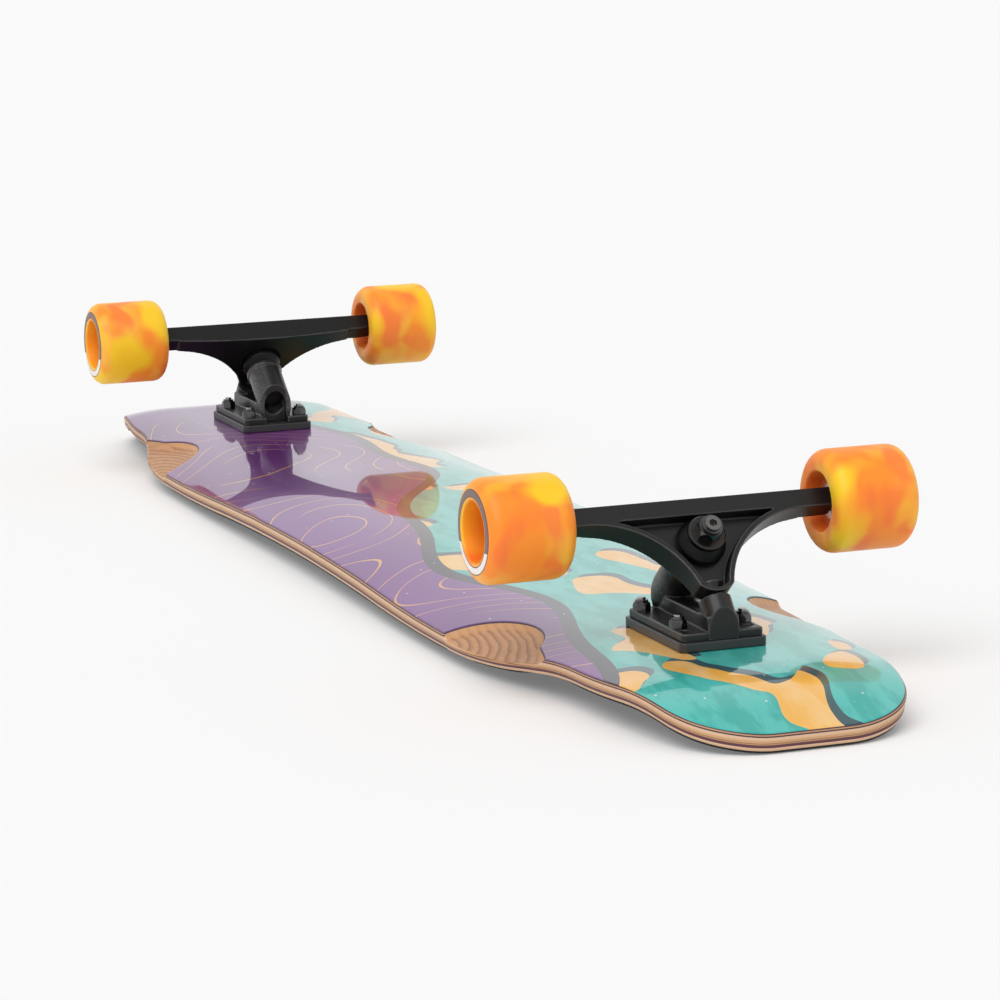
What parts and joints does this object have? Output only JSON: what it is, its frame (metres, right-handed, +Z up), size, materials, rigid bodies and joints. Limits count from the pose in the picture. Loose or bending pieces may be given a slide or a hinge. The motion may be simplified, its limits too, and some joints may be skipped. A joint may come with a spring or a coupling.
{
  "type": "longboard skateboard",
  "caption": "Longboard skateboard lying wheels up: kicked maple deck with wheel wells, steering trucks on riser pads and marbled urethane wheels on bearings.",
  "frame": {"origin": "centre of the bounding box at the floor, with the board lying wheels up as pictured", "axes": "+X along the deck to the front end, +Z up from the floor through the wheels, +Y across; turn the part 180 degrees about X to ride it"},
  "size_m": [1.192, 0.276, 0.1365],
  "materials": {
    "deck": "clear-coated maple laminate, printed on one face",
    "grip": "abrasive sheet",
    "riser": "satin moulded pad",
    "casting": "satin black coat on cast aluminium",
    "bolt": "blackened steel, bright at the cut end",
    "nut": "blackened steel",
    "pivot_cup": "satin",
    "kingpin": "blackened steel",
    "washer": "blackened steel",
    "bushing": "moulded urethane",
    "axle": "ground",
    "axle_nut": "plated",
    "bearing_steel": "ground",
    "urethane": "marbled translucent urethane",
    "wheel_core": "moulded",
    "shield": "pressed",
    "ball": "polished",
    "cage": "pressed"
  },
  "bodies": {
    "board": {"deck": "deck", "grip_tape": "grip", "front_riser_pad": "riser", "front_baseplate": "casting", "front_mounting_bolts": "bolt", "front_mounting_nuts": "nut", "front_pivot_cup": "pivot_cup", "front_kingpin": "kingpin", "front_kingpin_nut": "nut", "front_cup_washers": "washer", "front_boardside_bushing": "bushing", "front_roadside_bushing": "bushing", "rear_riser_pad": "riser", "rear_baseplate": "casting", "rear_mounting_bolts": "bolt", "rear_mounting_nuts": "nut", "rear_pivot_cup": "pivot_cup", "rear_kingpin": "kingpin", "rear_kingpin_nut": "nut", "rear_cup_washers": "washer", "rear_boardside_bushing": "bushing", "rear_roadside_bushing": "bushing"},
    "front_hanger_unit": {"front_hanger": "casting", "front_axle": "axle", "front_axle_nuts": "axle_nut", "front_speed_washers": "bearing_steel", "front_bearing_inner_rings": "bearing_steel", "front_bearing_spacers": "bearing_steel"},
    "rear_hanger_unit": {"rear_hanger": "casting", "rear_axle": "axle", "rear_axle_nuts": "axle_nut", "rear_speed_washers": "bearing_steel", "rear_bearing_inner_rings": "bearing_steel", "rear_bearing_spacers": "bearing_steel"},
    "front_left_wheel": {"front_left_tyre": "urethane", "front_left_core": "wheel_core", "front_left_bearing_outer_rings": "bearing_steel", "front_left_bearing_shields": "shield"},
    "front_left_ball_set": {"front_left_bearing_balls": "ball", "front_left_bearing_cages": "cage"},
    "front_right_wheel": {"front_right_tyre": "urethane", "front_right_core": "wheel_core", "front_right_bearing_outer_rings": "bearing_steel", "front_right_bearing_shields": "shield"},
    "front_right_ball_set": {"front_right_bearing_balls": "ball", "front_right_bearing_cages": "cage"},
    "rear_left_wheel": {"rear_left_tyre": "urethane", "rear_left_core": "wheel_core", "rear_left_bearing_outer_rings": "bearing_steel", "rear_left_bearing_shields": "shield"},
    "rear_left_ball_set": {"rear_left_bearing_balls": "ball", "rear_left_bearing_cages": "cage"},
    "rear_right_wheel": {"rear_right_tyre": "urethane", "rear_right_core": "wheel_core", "rear_right_bearing_outer_rings": "bearing_steel", "rear_right_bearing_shields": "shield"},
    "rear_right_ball_set": {"rear_right_bearing_balls": "ball", "rear_right_bearing_cages": "cage"}
  },
  "joints": [
    {"name": "front_steer", "type": "hinge", "parent": "board", "child": "front_hanger_unit", "pos_m": [0.46115, 0, 0.05576], "axis": [0.6428, 0, -0.766], "range_deg": [-20, 20], "stiffness_Nm_per_rad": 60, "deforming": ["front_boardside_bushing", "front_roadside_bushing"]},
    {"name": "rear_steer", "type": "hinge", "parent": "board", "child": "rear_hanger_unit", "pos_m": [-0.44915, 0, 0.05576], "axis": [-0.6428, 0, -0.766], "range_deg": [-20, 20], "stiffness_Nm_per_rad": 60, "deforming": ["rear_boardside_bushing", "rear_roadside_bushing"]},
    {"name": "front_left_spin", "type": "hinge", "parent": "front_hanger_unit", "child": "front_left_wheel", "pos_m": [0.425, 0, 0.10506], "axis": [0, 1, 0], "continuous": true},
    {"name": "front_left_ball_spin", "type": "hinge", "parent": "front_hanger_unit", "child": "front_left_ball_set", "pos_m": [0.425, 0, 0.10506], "axis": [0, 1, 0], "continuous": true},
    {"name": "front_right_spin", "type": "hinge", "parent": "front_hanger_unit", "child": "front_right_wheel", "pos_m": [0.425, 0, 0.10506], "axis": [0, 1, 0], "continuous": true},
    {"name": "front_right_ball_spin", "type": "hinge", "parent": "front_hanger_unit", "child": "front_right_ball_set", "pos_m": [0.425, 0, 0.10506], "axis": [0, 1, 0], "continuous": true},
    {"name": "rear_left_spin", "type": "hinge", "parent": "rear_hanger_unit", "child": "rear_left_wheel", "pos_m": [-0.413, 0, 0.10506], "axis": [0, 1, 0], "continuous": true},
    {"name": "rear_left_ball_spin", "type": "hinge", "parent": "rear_hanger_unit", "child": "rear_left_ball_set", "pos_m": [-0.413, 0, 0.10506], "axis": [0, 1, 0], "continuous": true},
    {"name": "rear_right_spin", "type": "hinge", "parent": "rear_hanger_unit", "child": "rear_right_wheel", "pos_m": [-0.413, 0, 0.10506], "axis": [0, 1, 0], "continuous": true},
    {"name": "rear_right_ball_spin", "type": "hinge", "parent": "rear_hanger_unit", "child": "rear_right_ball_set", "pos_m": [-0.413, 0, 0.10506], "axis": [0, 1, 0], "continuous": true}
  ],
  "couplings": [
    {"joint": "front_left_ball_spin", "follows": "front_left_spin", "ratio": 0.63233},
    {"joint": "front_right_ball_spin", "follows": "front_right_spin", "ratio": 0.63233},
    {"joint": "rear_left_ball_spin", "follows": "rear_left_spin", "ratio": 0.63233},
    {"joint": "rear_right_ball_spin", "follows": "rear_right_spin", "ratio": 0.63233}
  ]
}
